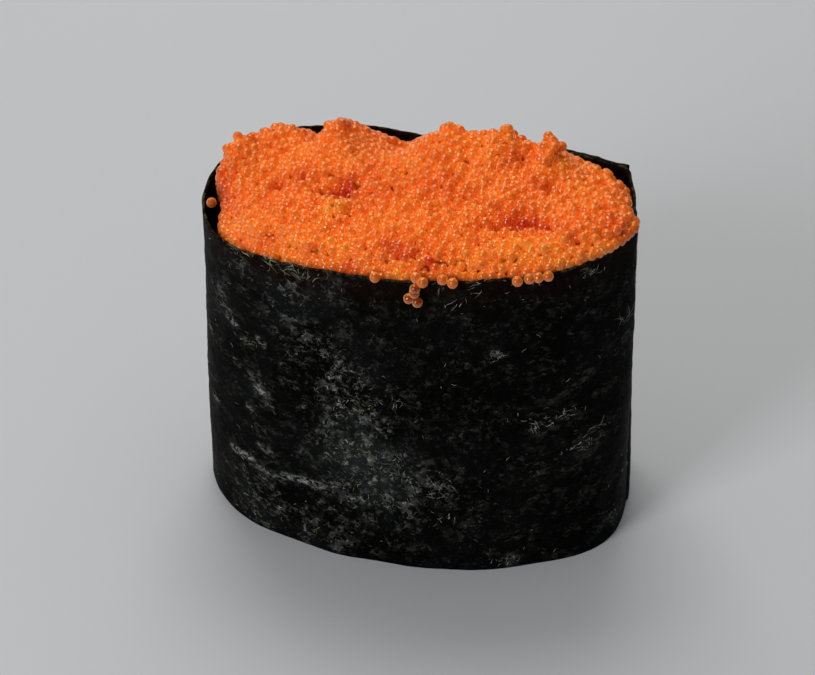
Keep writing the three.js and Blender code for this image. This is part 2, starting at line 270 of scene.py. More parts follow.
# Creases: angle and level at each end, width in mm, height in mm.
CREASES = [
    (3.600, 0.248, 3.810, 0.256, 0.40, 0.26), (3.78, 0.240, 4.00, 0.218, 0.50, 0.12),
    (3.940, 0.240, 4.110, 0.251, 0.40, 0.20), (4.06, 0.252, 4.25, 0.240, 0.45, 0.24),
    (3.790, 0.328, 3.935, 0.306, 0.50, 0.12), (3.92, 0.200, 4.06, 0.190, 0.60, -0.14),
    (3.625, 0.752, 3.725, 0.722, 0.32, 0.20), (3.74, 0.697, 3.820, 0.674, 0.30, 0.15),
    (3.820, 0.726, 3.900, 0.692, 0.32, 0.16), (3.80, 0.541, 3.910, 0.521, 0.50, 0.20),
    (3.735, 0.452, 3.805, 0.441, 0.38, 0.14), (3.46, 0.388, 3.540, 0.374, 0.40, 0.14),
    (3.570, 0.835, 3.650, 0.795, 0.35, 0.13), (3.45, 0.660, 3.510, 0.610, 0.35, 0.13),
    (3.900, 0.880, 3.980, 0.850, 0.35, 0.10), (3.66, 0.600, 3.740, 0.575, 0.32, 0.12),
    (5.55, 0.56, 5.95, 0.66, 0.8, 0.05),
    (5.70, 0.30, 6.00, 0.42, 0.9, 0.05),
    (5.95, 0.12, 6.10, 0.30, 1.2, -0.16),
    (4.80, 0.30, 5.20, 0.20, 0.9, 0.04),
    (1.20, 0.60, 1.70, 0.48, 0.8, 0.16),
    (0.30, 0.42, 0.62, 0.60, 0.7, 0.15),
    (2.50, 0.70, 2.90, 0.52, 0.7, 0.16),
]


def crease_relief(angle, level):
    """Height of the creases at points on the strip, in mm."""
    relief = np.zeros_like(angle)
    x, y = angle * AROUND, level * STRIP_HEIGHT
    for a0, l0, a1, l1, width, height in CREASES:
        start = np.array([a0 * AROUND, l0 * STRIP_HEIGHT])
        run = np.array([a1 * AROUND, l1 * STRIP_HEIGHT]) - start
        share = ((x - start[0]) * run[0] + (y - start[1]) * run[1]) / (run @ run)
        held = np.clip(share, 0, 1)
        off = np.hypot(x - start[0] - held * run[0], y - start[1] - held * run[1])
        soft_ends = smooth(-0.05, 0.25, share) * (1 - smooth(0.75, 1.05, share))
        relief += height * soft_ends * np.exp(-((off / width) ** 2))
    return relief


def grain_noise(points, size, seed):
    """Perlin noise at each point, one value about -1 to 1."""
    offset = Vector((seed * 7.3, seed * 3.1, seed * 5.7))
    return np.array([noise.noise(Vector(point) / size + offset) for point in points])


def layered_noise(points, layers):
    """Noises of several sizes on top of each other."""
    return sum(height * grain_noise(points, size, seed) for height, size, seed in layers)


def lap_lift(turned):
    """The outer end lies over the inner one, so it stands a sheet further out."""
    past_lap = smooth(LAP_START + LAP_WIDTH, LAP_START + LAP_WIDTH + LAP_FADE, turned)
    return np.where(turned < LAP_START, 0, LAP_LIFT * (1 - past_lap))


print(len(CREASES), "creases on the strip")

# %% The sheet as a flat grid, wrapped round
SHEET_COLUMNS, SHEET_ROWS = 460, 92
# Layers of noise: height in mm, size in mm, seed.
PUCKER = [(0.060, 2.6, 1), (0.045, 1.3, 2), (0.030, 0.75, 3)]
RAGGED = [(0.16, 2.2, 4), (0.10, 0.7, 5)]
RAGGED_FROM = 0.93
# The foot is kept just off the floor, because a tilted sheet has a lower inner edge.
FLOOR_GAP = 0.03
bm = bmesh.new()
bmesh.ops.create_grid(bm, x_segments=SHEET_COLUMNS, y_segments=SHEET_ROWS, size=0.5)
bm.verts.ensure_lookup_table()
flat = np.array([vertex.co[:] for vertex in bm.verts])
share_along = flat[:, 0] + 0.5
level = flat[:, 1] + 0.5
turned = LAP_START + share_along * (TURN + LAP_WIDTH)
angle = turned % TURN
strip = np.stack([turned * AROUND, level * STRIP_HEIGHT, 0 * level], axis=-1)

lift = lap_lift(turned) + CURL_LIFT * (1 - smooth(LAP_START, LAP_START + CURL_WIDTH, turned))
flatter_foot = 0.5 + 0.5 * smooth(0, 0.1, level)
outwards = lift + layered_noise(strip, PUCKER) * flatter_foot + crease_relief(angle, level)
wrapped = wall_point(turned, level, outwards)
wrapped[:, 2] += layered_noise(strip * [1, 0, 0], RAGGED) * smooth(RAGGED_FROM, 1, level)
wrapped[:, 2] = np.maximum(wrapped[:, 2], FLOOR_GAP)
for vertex, point in zip(bm.verts, placed(wrapped)):
    vertex.co = point
print("sheet is", round(TURN * AROUND + LAP_WIDTH * AROUND, 1), "mm long before wrapping")

# %% Where the weed catches the light, painted as glints and sheen, and where fibres gather
PALE_EVERYWHERE = 0.10
# Angle and level of each pale patch, its reach along and up in mm, its strength.
PALE_PATCHES = [
    (4.45, 0.40, 4.5, 9.0, 0.85), (4.75, 0.30, 3.2, 5.0, 0.75), (4.10, 0.79, 3.0, 3.0, 0.45),
    (4.30, 0.62, 4.0, 4.0, 0.50), (3.86, 0.54, 1.6, 1.8, 0.60), (4.19, 0.08, 4.5, 3.0, 0.50),
    (4.42, 0.38, 1.8, 1.8, 0.50), (3.80, 0.13, 3.0, 4.0, 0.55), (3.62, 0.78, 1.6, 3.0, 0.35),
    (5.82, 0.40, 1.1, 1.3, 0.80), (5.64, 0.52, 2.0, 0.8, 0.70), (5.36, 0.76, 0.6, 0.7, 0.70),
    (5.03, 0.30, 1.9, 3.0, 0.55), (5.40, 0.03, 1.8, 0.8, 0.60), (5.82, 0.97, 0.8, 0.8, 0.45),
    (6.07, 0.75, 0.6, 2.2, 0.55), (6.05, 0.08, 1.6, 2.0, 0.50), (5.20, 0.16, 2.0, 2.0, 0.12),
    (0.55, 0.45, 4.0, 7.0, 0.45), (1.30, 0.70, 4.0, 3.0, 0.50), (1.90, 0.30, 4.5, 6.0, 0.60),
    (2.60, 0.60, 3.0, 6.0, 0.50), (3.00, 0.30, 2.5, 5.0, 0.45), (3.70, 0.95, 1.8, 1.6, 0.55),
    (4.00, 0.92, 2.6, 2.2, 0.45), (4.30, 0.93, 2.0, 1.6, 0.35), (3.84, 0.53, 1.2, 1.0, 0.50),
]


def pale_share(turned, level):
    """How much the weed catches the light at points on the strip, 0 to 1."""
    share = np.full(len(turned), PALE_EVERYWHERE)
    for patch_angle, patch_level, along, up, strength in PALE_PATCHES:
        off = (turned - patch_angle + math.pi) % TURN - math.pi
        share += strength * np.exp(-((off * AROUND / along) ** 2)
                                   - ((level - patch_level) * STRIP_HEIGHT / up) ** 2)
    return np.clip(share, 0, 1)


print(len(PALE_PATCHES), "pale patches")

# %% Lay the strip's own map on the sheet, for finishes that follow it
MM_IN_CM = 10
# A crease gets a painted sheen where it stands up: from this share of this height, in mm, on.
CREASE_SHEEN_HEIGHT = 0.22
CREASE_SHEEN_FROM = 0.15
strip_map = bm.loops.layers.uv.new("strip")
pale_layer = bm.verts.layers.float.new("pale")
crease_layer = bm.verts.layers.float.new("crease")
pale = pale_share(angle, level)
creased = np.clip(crease_relief(angle, level) / CREASE_SHEEN_HEIGHT - CREASE_SHEEN_FROM, 0, 1)
for vertex in bm.verts:
    vertex[pale_layer] = float(pale[vertex.index])
    vertex[crease_layer] = float(creased[vertex.index])
for face in bm.faces:
    for loop in face.loops:
        k = loop.vert.index
        loop[strip_map].uv = (turned[k] * AROUND / MM_IN_CM, level[k] * STRIP_HEIGHT / MM_IN_CM)
bmesh.ops.recalc_face_normals(bm, faces=bm.faces)
# The faces should look away from the middle of the band.
middle_face = bm.faces[len(bm.faces) // 2]
centre = Vector(placed([0.0, 0.0, STRIP_HEIGHT / 2]))
if middle_face.normal.dot(middle_face.calc_center_median() - centre) < 0:
    bmesh.ops.reverse_faces(bm, faces=bm.faces)
print("map in centimetres along and up the strip")

# %% [markdown]
# ## How nori looks
# Nori is pressed from chopped weed. The sheet is a near-black green and mostly
# dull. Single flakes and crumbs of weed catch the light in loose groups, and
# where the sheet is thin it turns olive. The pale flakes are partly the weed's
# own colour and partly painted glints. Voronoi cells on the strip's own map
# make the flakes, each with a tone of its own. Slow noise gathers them into
# groups, and the pale patches and creases say where they show. Painted sheen
# lies on the creases that stand up and as a soft haze over the pale patches. A
# bump follows the same patterns.

# %% Nori finish: its noises and the helpers that join them
nori, tree, shader = new_finish("nori")
where = add(tree, "ShaderNodeTexCoord").outputs["UV"]
pale_here = add(tree, "ShaderNodeAttribute", {"attribute_name": "pale"}).outputs["Fac"]
slow = add(tree, "ShaderNodeTexNoise", Vector=where, Scale=1.1, Detail=3.0, Roughness=0.55)
cells = add(tree, "ShaderNodeTexNoise", Vector=where, Scale=9.0, Detail=6.0, Roughness=0.72)
specks = add(tree, "ShaderNodeTexNoise", Vector=where, Scale=34.0, Detail=3.0, Roughness=0.7)
bend = add(tree, "ShaderNodeTexNoise", Vector=where, Scale=17.0, Detail=3.0)
bent = add(tree, "ShaderNodeVectorMath", {"operation": "MULTIPLY_ADD"},
           _0=bend.outputs["Color"], _1=(0.11, 0.11, 0.0), _2=where).outputs[0]


def times(first, second):
    return add(tree, "ShaderNodeMath", {"operation": "MULTIPLY"}, _0=first, _1=second).outputs[0]


def plus(first, second):
    return add(tree, "ShaderNodeMath", {"operation": "ADD"}, _0=first, _1=second).outputs[0]


def between(factor, low, high):
    """0 below low, 1 above high, and a soft step between them."""
    return add(tree, "ShaderNodeMapRange", {"interpolation_type": "SMOOTHSTEP"},
               Value=factor, From_Min=low, From_Max=high).outputs[0]


def flake_spots(turn, stretch, scale, low, high):
    """Soft uneven blobs, drawn out one way: bits of weed that lie on the sheet."""
    laid = add(tree, "ShaderNodeMapping", Vector=bent, Rotation=(0, 0, turn), Scale=stretch)
    spots = add(tree, "ShaderNodeTexNoise", Vector=laid.outputs[0],
                Scale=scale, Detail=5.0, Roughness=0.62)
    return between(spots.outputs["Fac"], low, high)


def chopped_weed(turn, stretch, scale, low, high):
    """Flakes in ragged cells, each with a tone of its own, so that only some are pale."""
    laid = add(tree, "ShaderNodeMapping", Vector=bent, Rotation=(0, 0, turn), Scale=stretch)
    pieces = add(tree, "ShaderNodeTexVoronoi", Vector=laid.outputs[0], Scale=scale)
    tone = add(tree, "ShaderNodeSeparateColor", Color=pieces.outputs["Color"]).outputs["Red"]
    return between(tone, low, high)


print("nori noises laid on the strip's map")

# %% Nori finish: flakes of weed, painted glints and painted sheen
# The pale flakes below are partly the weed's own colour and partly painted glints, where its specks
# catch the light.
clumps = between(cells.outputs["Fac"], 0.44, 0.62)
groups = flake_spots(0.5, (1.0, 1.3, 1.0), 3.4, 0.44, 0.60)
crumbs = times(between(specks.outputs["Fac"], 0.60, 0.70), groups)
broad_flakes = times(chopped_weed(0.5, (1.0, 1.5, 1.0), 14.0, 0.50, 1.0), groups)
small_flakes = times(chopped_weed(0.6, (1.0, 1.9, 1.0), 27.0, 0.62, 0.98), clumps)
flakes = plus(times(broad_flakes, 0.30), times(small_flakes, plus(times(groups, 0.95), 0.2)))
flakes = plus(flakes, times(crumbs, 0.6))
flakes_and_painted_glints = times(flakes, pale_here)
crease_here = add(tree, "ShaderNodeAttribute", {"attribute_name": "crease"}).outputs["Fac"]
# Painted sheen on the creases that stand up, where they would catch the light.
crease_sheen = times(crease_here, flake_spots(0.4, (1.0, 2.0, 1.0), 15.0, 0.45, 0.60))
# Painted sheen: a soft grey haze over the pale patches, where the sheet would catch the light.
sheen_haze = times(between(slow.outputs["Fac"], 0.40, 0.66), pale_here)
thin = times(between(slow.outputs["Fac"], 0.56, 0.70), flakes_and_painted_glints)
print("shares for flakes, worn creases, haze and thin spots")

# %% Nori finish: colours, from the weed itself to its flakes and the painted sheen and glints
WEED_RAMP = [(0.30, (0.0016, 0.0016, 0.0014)), (0.55, (0.0026, 0.0027, 0.0023)),
             (0.78, (0.0070, 0.0074, 0.0054))]
SHEEN_HAZE_COLOUR = (0.020, 0.0215, 0.0215)
OLIVE = (0.16, 0.15, 0.07)
CREASE_SHEEN_COLOUR = (0.46, 0.47, 0.42)
FLAKE_AND_GLINT_COLOUR = (0.42, 0.425, 0.375)
GLOW_UNDER_ROE = (0.020, 0.006, 0.003)
CUT_EDGE = (0.13, 0.125, 0.06)

colour = ramp(tree, cells.outputs["Fac"], WEED_RAMP)
colour_layers = [(sheen_haze, SHEEN_HAZE_COLOUR), (thin, OLIVE), (crease_sheen, CREASE_SHEEN_COLOUR), (flakes_and_painted_glints, FLAKE_AND_GLINT_COLOUR)]
for share, layer_colour in colour_layers:
    colour = mixed(tree, share, colour, layer_colour)
# The map is in centimetres, so the rim lies at 3.8.
up_strip = add(tree, "ShaderNodeSeparateXYZ", Vector=where).outputs["Y"]
under_rim = between(up_strip, 3.30, 3.85)
# Painted glow: the roe's orange light on the sheet just under the rim.
colour = mixed(tree, times(under_rim, 0.35), colour, GLOW_UNDER_ROE)
at_edge = times(between(up_strip, 3.780, 3.800), times(clumps, 0.5))
colour = mixed(tree, at_edge, colour, CUT_EDGE)
tree.links.new(colour, shader.inputs["Base Color"])
print("nori colour from", len(tree.nodes), "nodes")

# %% Nori finish: gloss and bump
rough = add(tree, "ShaderNodeMapRange", Value=cells.outputs["Fac"],
            From_Min=0.3, From_Max=0.75, To_Min=0.30, To_Max=0.55).outputs[0]
tree.links.new(rough, shader.inputs["Roughness"])
shader.inputs["IOR"].default_value = 1.45
shader.inputs["Specular IOR Level"].default_value = 0.006
relief = plus(cells.outputs["Fac"], times(specks.outputs["Fac"], 0.35))
relief = plus(relief, times(flakes_and_painted_glints, 0.25))
bump = add(tree, "ShaderNodeBump", Height=relief, Strength=0.8, Distance=0.00022)
tree.links.new(bump.outputs[0], shader.inputs["Normal"])
print("nori finish with", len(tree.nodes), "nodes")

# %% The finished sheet
sheet = keep_piece("nori_sheet", bm, nori)
thickness = sheet.modifiers.new("thickness", "SOLIDIFY")
thickness.thickness = SHEET_THICK * MM
thickness.offset = -1.0
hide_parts("nori_wrap")

# %% [markdown]
# ## Loose fibres
# Threads of weed stand a little off the sheet and shine. Each one is a short
# bent curve with a thin round bevel that tapers at both ends. Most of them lie
# scattered, more in the pale patches. A few tufts have a place of their own.

# %% Where the fibres lie
FIBRE_COUNT = 420
FIBRE_RADIUS = 0.028
# How crooked a thread is, how far off the sheet it lies and how flat a tuft is.
CROOKED = 0.35
OFF_SHEET = (0.02, 0.07)
TUFT_FLATNESS = 0.6
# Tufts: angle, level, spread in mm, count, length in mm, main direction.
TUFTS = [
    (5.364, 0.760, 0.55, 20, 0.8, None), (5.822, 0.970, 0.60, 16, 0.9, None),
    (6.075, 0.750, 0.60, 9, 2.0, 1.10), (5.222, 0.975, 0.90, 8, 1.4, 0.20),
    (5.123, 0.930, 0.60, 3, 1.6, 0.70), (5.560, 0.505, 0.90, 14, 1.0, -0.35),
    (5.690, 0.530, 1.00, 18, 1.0, -0.60), (5.819, 0.400, 0.90, 26, 1.0, 0.50),
    (5.900, 0.440, 0.70, 10, 1.2, 0.60), (4.769, 0.590, 0.60, 7, 1.0, 0.30),
    (4.437, 0.580, 0.60, 7, 0.9, -0.60), (4.720, 0.360, 1.00, 20, 1.2, -0.20),
    (5.020, 0.300, 1.10, 24, 1.3, 0.50), (5.080, 0.200, 0.60, 8, 1.5, 0.70),
    (4.620, 0.220, 1.20, 20, 1.1, 0.30), (5.403, 0.030, 0.80, 12, 0.9, 0.00),
    (4.300, 0.700, 1.20, 10, 0.8, None), (5.030, 0.995, 1.20, 10, 1.0, 0.10),
    (4.050, 0.990, 1.60, 14, 0.9, 0.00), (3.700, 1.000, 1.20, 9, 0.8, 0.20),
    (5.450, 0.990, 1.40, 9, 0.9, 0.00), (1.400, 0.970, 1.60, 10, 1.0, 0.00),
    (2.300, 0.600, 1.00, 14, 1.1, 0.80),
]
# Where the sheet is thin the threads are olive: along the left of the rim, and
# in a few spots below it.
OLIVE_TUFTS = [
    (3.93, 0.995, 1.00, 14, 1.6, -0.1), (4.06, 0.990, 0.90, 14, 1.8, -0.1),
    (3.76, 1.000, 0.80, 7, 1.2, -0.2), (4.20, 0.990, 0.80, 6, 1.5, 0.0),
    (4.17, 0.234, 0.35, 16, 0.7, -0.2), (3.86, 0.527, 0.50, 20, 0.7, -0.7),
    (4.16, 0.067, 0.40, 12, 0.6, 0.0), (4.38, 0.270, 0.90, 14, 0.7, 0.3),
    (3.80, 0.700, 0.60, 8, 0.7, -0.6), (4.51, 0.570, 0.70, 8, 0.7, 0.2),
]
strip_rng = np.random.default_rng(21)
print(FIBRE_COUNT, "scattered fibres and", len(TUFTS) + len(OLIVE_TUFTS), "tufts")


# %% Fibres as bevelled curves
def new_curves(name):
    """Curves with a thin bevel, still without a thread."""
    curves = bpy.data.curves.new(name, "CURVE")
    curves.dimensions = "3D"
    curves.bevel_depth = FIBRE_RADIUS * MM
    curves.bevel_resolution = 0
    return curves


def add_fibre(curves, turned_at, level_at, length, way):
    """One thread on the outer face, crooked like a hair, thin at both ends."""
    steps = 6
    ways = way + np.cumsum(strip_rng.normal(0, CROOKED, steps)) + strip_rng.normal(0, 0.5)
    along = np.cumsum(np.cos(ways)) * length / steps
    up = np.cumsum(np.sin(ways)) * length / steps
    turned_now = turned_at + (along - along.mean()) / AROUND
    level_now = np.clip(level_at + (up - up.mean()) / STRIP_HEIGHT, 0.004, 1.012)
    outwards = lap_lift(turned_now % TURN) + strip_rng.uniform(*OFF_SHEET)
    points = wall_point(turned_now, level_now, outwards)
    spline = curves.splines.new("POLY")
    spline.points.add(steps - 1)
    thin_ends = np.sin(np.linspace(0.25, math.pi - 0.25, steps)) * strip_rng.uniform(0.45, 1.1)
    for knot, point, thick in zip(spline.points, placed(points), thin_ends):
        knot.co = (*point, 1)
        knot.radius = float(thick)


def add_tufts(curves, tufts):
    """Groups of threads; those of a tuft without a main direction lie every way."""
    for tuft_angle, tuft_level, spread, count, length, main_way in tufts:
        for _ in range(count):
            if main_way is None:
                way = strip_rng.uniform(0, TURN)
            else:
                way = strip_rng.normal(main_way, 0.5)
            add_fibre(curves, tuft_angle + strip_rng.normal(0, spread / AROUND),
                      tuft_level + strip_rng.normal(0, spread * TUFT_FLATNESS / STRIP_HEIGHT),
                      length * strip_rng.uniform(0.25, 1.3), way)


pale_curves = new_curves("pale_fibres")
scattered = 0
while scattered < FIBRE_COUNT:
    turned_at, level_at = strip_rng.uniform(0, TURN), strip_rng.uniform(0, 1)
    if strip_rng.uniform(0, 1) < pale_share(np.array([turned_at]), np.array([level_at]))[0]:
        length, way = strip_rng.uniform(0.15, 0.9), strip_rng.uniform(0, TURN)
        add_fibre(pale_curves, turned_at, level_at, length, way)
        scattered += 1
add_tufts(pale_curves, TUFTS)
olive_curves = new_curves("olive_fibres")
add_tufts(olive_curves, OLIVE_TUFTS)
print(len(pale_curves.splines), "pale threads and", len(olive_curves.splines), "olive ones")


# %% Fibre finishes, and the curves made into meshes
def keep_fibres(name, curves, dark, middle, light):
    """Turns the threads into a mesh with a finish that runs from dark to light."""
    finish, tree, shader = new_finish(name)
    object_place = add(tree, "ShaderNodeTexCoord").outputs["Object"]
    strand_tone = add(tree, "ShaderNodeTexNoise", Vector=object_place, Scale=900.0, Detail=2.0)
    fibre_colour = ramp(tree, strand_tone.outputs["Fac"],
                        [(0.30, dark), (0.50, middle), (0.70, light)])
    tree.links.new(fibre_colour, shader.inputs["Base Color"])
    shader.inputs["Roughness"].default_value = 0.42
    strand_bump = add(tree, "ShaderNodeBump", Height=strand_tone.outputs["Fac"],
                      Strength=0.3, Distance=0.00003)
    tree.links.new(strand_bump.outputs[0], shader.inputs["Normal"])
    holder = bpy.data.objects.new(name, curves)
    fibre_mesh = bpy.data.meshes.new_from_object(holder)
    bpy.data.objects.remove(holder)
    fibre_mesh.materials.clear()
    keep_mesh(name, fibre_mesh, finish)


keep_fibres("nori_fibres", pale_curves,
            (0.05, 0.052, 0.04), (0.30, 0.305, 0.26), (0.75, 0.76, 0.68))
keep_fibres("olive_fibres", olive_curves,
            (0.05, 0.045, 0.015), (0.30, 0.28, 0.11), (0.80, 0.77, 0.45))

# %% [markdown]
# ## The heap of roe
# Tobiko are eggs about 1.2 mm across. Spooned onto rice they pack as close as
# shot in a bowl, but never in rows. To get that, the eggs start at random
# places under the heap's surface and push each other apart until they touch.
# The surface itself is a dome from the rim to the crown with swells and
# hollows where the spoon left them.

# %% The heap's surface
EGG = 1.2
# From the sheet's outer face to where the roe may begin.
SHEET_INSIDE = 0.38
# The dome: its crown, its rise for each mm towards the back, and how late it bends
# down towards its brim. The brim stands above the rim, less so at the back, and
# the outermost eggs drop a little.
ROE_CROWN = 41.3
CROWN_TILT = 0.147
DOME_POWER = 3.1
BRIM_INSET = 0.8
BRIM_RISE = 1.1
BACK_DROP = 1.3
EDGE_DROP = 0.9
# Steps round the heap: angle, reach in radians, size. The roe has drawn back from
# the wall at the left end, where its edge is lower too, and rises at the right end.
HOLLOW_ANGLE = 3.32
HOLLOW = [(HOLLOW_ANGLE, 0.16, 1.5)]
DRAWN_BACK = [(HOLLOW_ANGLE, 0.17, 1.7), (0.42, 0.11, 0.6)]
RIGHT_END = [(-0.15, 0.38, 1.4)]
# The slope is measured over this many mm each way, and held to the steepest.
SLOPE_STEP = 0.3
MOST_STEEP = 2.4
# Swells and hollows: x, y, reach along X, reach along Y, height.
SWELLS = [
    (-21.65, 1.03, 2.6, 4.0, 5.65),
    (-17.66, 6.2, 2.4, 4.0, 2.17),
    (-10.2, 6.4, 2.0, 4.2, 1.9),
    (-7.0, 6.6, 2.0, 4.2, -1.1),
    (-4.0, 8.0, 2.2, 4.6, -2.4),
    (1.8, 7.2, 1.8, 4.0, 1.9),
    (5.0, 7.2, 2.0, 4.0, 1.0),
    (8.2, 7.0, 2.0, 4.0, 2.5),
    (13.06, 6.4, 1.8, 3.4, 2.88),
    (-8.0, -6.6, 1.7, 1.1, 1.1),
    (-8.8, -3.0, 2.6, 1.2, -1.7),
    (-6.0, -3.4, 1.6, 1.0, -1.1),
    (9.9, -6.6, 1.9, 0.8, -1.4),
    (13.2, -5.6, 1.7, 0.8, -1.4),
    (-14.8, -3.1, 0.7, 0.7, -1.3),
    (-13.2, -11.6, 0.8, 0.7, -1.0),
    (0.0, -12.8, 0.8, 0.6, -1.0),
    (3.0, -13.0, 0.7, 0.6, -0.9),
    (14.4, 0.7, 0.7, 0.7, -1.1),
    (20.4, -2.6, 0.8, 0.8, -1.0),
    (-13.3, 8.6, 0.8, 3.4, -1.9),
    (-4.1, 12.2, 0.8, 2.2, -2.0),
    (-6.6, 12.6, 1.6, 2.0, -1.2),
    (16.4, 8.8, 2.2, 2.2, -0.6),
    (11.4, 5.5, 0.6, 2.4, -1.0),
]


def heap_height(x, y):
    """The height of the roe over each place; share is 0 in the middle, 1 at the brim."""
    angle = np.arctan2(y, x) % TURN
    share = np.minimum(np.hypot(x, y) / (oval_radius(angle) - BRIM_INSET), 1)
    middle = ROE_CROWN + CROWN_TILT * y * (1 - share ** 2)
    at_back = smooth(-0.35, 0.35, np.sin(angle)) * smooth(-0.98, -0.8, np.cos(angle))
    brim = rim_height(angle) - mounds(angle, TIP) + BRIM_RISE - BACK_DROP * at_back
    dome = middle + (brim - middle) * share ** DOME_POWER
    edge = -EDGE_DROP * smooth(0.92, 1, share)
    right_end = mounds(angle, RIGHT_END)
    hollow = mounds(angle, HOLLOW) * smooth(0.8, 1, share)
    swell = sum(high * np.exp(-(((x - cx) / wide) ** 2) - ((y - cy) / deep) ** 2)
                for cx, cy, wide, deep, high in SWELLS)
    return dome + edge + right_end * share ** 4 + swell * (1 - share ** 10) - hollow


def heap_reach(angle, inset):
    """How far out from the middle the roe goes, less an inset."""
    inner_face = oval_radius(angle) + ripple(angle % TURN, 1.0) - SHEET_INSIDE
    return inner_face - mounds(angle, DRAWN_BACK) - inset


def steepness(x, y):
    """How much longer the surface is than its plan, 1 where it lies flat."""
    step = SLOPE_STEP
    slope_x = (heap_height(x + step, y) - heap_height(x - step, y)) / (2 * step)
    slope_y = (heap_height(x, y + step) - heap_height(x, y - step)) / (2 * step)
    return np.minimum(np.sqrt(1 + slope_x ** 2 + slope_y ** 2), MOST_STEEP)


xs, ys = np.meshgrid(np.linspace(-22, 22, 45), np.linspace(-14, 14, 29))
inside = np.hypot(xs, ys) < heap_reach(np.arctan2(ys, xs), EGG / 2)
surface = heap_height(xs, ys)[inside]
print("heap's surface stands", surface.min().round(1), "to", surface.max().round(1), "mm")

# %% Scatter the eggs under the surface
EGG_COUNT = 2426
EGG_LAYERS = 0.5
SCATTER_SINK = 0.3
rng = np.random.default_rng(7)


def scatter_eggs(count):
    """Random places in the top layer, as thick on steep sides as on flat ones."""
    found = []
    while len(found) < count:
        x, y = rng.uniform(-23, 23), rng.uniform(-15.5, 15.5)
        inside = math.hypot(x, y) < heap_reach(math.atan2(y, x), EGG / 2)
        if inside and rng.uniform(0, MOST_STEEP) < steepness(x, y):
            found.append((x, y, rng.uniform(0, EGG_LAYERS)))
    plan = np.array(found)
    height = heap_height(plan[:, 0], plan[:, 1])
    return np.column_stack([plan[:, :2], height - SCATTER_SINK - plan[:, 2]])


egg_sizes = EGG / 2 * rng.uniform(0.93, 1.05, EGG_COUNT)
egg_tops = rng.normal(0, 0.11, EGG_COUNT)
eggs = scatter_eggs(EGG_COUNT)
print(len(eggs), "eggs scattered, each within", EGG_LAYERS, "mm of its level")

# %% Let the eggs push each other apart
# Neighbours are sought within this many eggs' widths, once in so many rounds. Two
# eggs that are too close each give way by a share of what is missing. The top of
# an egg may stand out of the surface, by EGG_PROUD.
PAIR_REACH = 1.5
PAIR_ROUNDS = 6
SETTLE_ROUNDS = 90
EGG_CLOSENESS = 0.79
PUSH_SHARE = 0.42
EGG_PROUD = 0.34


def close_pairs(eggs, reach):
    """Every two eggs that lie nearer to each other than the reach."""
    order = np.argsort(eggs[:, 0])
    sorted_x = eggs[order, 0]
    pairs = []
    for k, egg in enumerate(eggs[order]):
        ahead = order[k + 1:np.searchsorted(sorted_x, egg[0] + reach)]
        near = ahead[((eggs[ahead] - egg) ** 2).sum(axis=1) < reach * reach]
        pairs.extend((order[k], other) for other in near)
    return np.array(pairs)


def settle(eggs, sizes, tops):
    """Pushes the eggs apart, and back under the surface and inside the wall."""
    for turn in range(SETTLE_ROUNDS):
        if turn % PAIR_ROUNDS == 0:
            pairs = close_pairs(eggs, EGG * PAIR_REACH)
        first, second = pairs.T
        away = eggs[first] - eggs[second]
        gap = np.maximum(np.linalg.norm(away, axis=1), 1e-6)
        wanted = (sizes[first] + sizes[second]) * EGG_CLOSENESS
        push = (np.clip(wanted - gap, 0, None) / gap * PUSH_SHARE)[:, None] * away
        np.add.at(eggs, first, push)
        np.add.at(eggs, second, -push)
        reach = heap_reach(np.arctan2(eggs[:, 1], eggs[:, 0]), EGG / 2)
        eggs[:, :2] /= np.maximum(np.hypot(eggs[:, 0], eggs[:, 1]) / reach, 1)[:, None]
        steep = steepness(eggs[:, 0], eggs[:, 1])
        top = heap_height(eggs[:, 0], eggs[:, 1]) + EGG_PROUD - EGG / 2 * steep + tops
        eggs[:, 2] = np.clip(eggs[:, 2], top - EGG_LAYERS * steep, top)
    return eggs


eggs = settle(eggs, egg_sizes, egg_tops)
print("eggs settled, the highest at", eggs[:, 2].max().round(2), "mm")

# %% Single eggs that stand proud along the back, at these x and y
PERCHED = [(-17.0, 3.8), (-14.9, 5.6), (-20.6, 2.4), (-21.3, 0.6), (-21.6, -1.2),
           (-11.4, 6.2), (-9.8, 6.0), (-7.8, 9.4), (-5.2, 10.9), (1.8, 6.8),
           (3.0, 6.9), (8.3, 6.8), (10.6, 6.8), (12.7, 6.6), (14.2, 6.6),
           (15.9, 8.4), (18.0, 7.0), (19.4, 6.2), (20.8, 4.4), (21.4, 2.6)]
PERCHED_SIZE = 0.96
perch_heights = np.random.default_rng(3).uniform(-0.10, 0.20, len(PERCHED))
perched = np.column_stack([PERCHED, perch_heights])
perched[:, 2] += heap_height(perched[:, 0], perched[:, 1])
# They take the place of as many eggs that lie deepest, where none of them shows.
buried = (heap_height(eggs[:, 0], eggs[:, 1]) - eggs[:, 2]) / steepness(eggs[:, 0], eggs[:, 1])
shown = np.sort(np.argsort(buried)[:-len(PERCHED)])
eggs = np.vstack([eggs[shown], perched])
egg_sizes = np.append(egg_sizes[shown], np.full(len(PERCHED), EGG / 2 * PERCHED_SIZE))
print(len(perched), "eggs perched, the highest at", perched[:, 2].max().round(2), "mm")

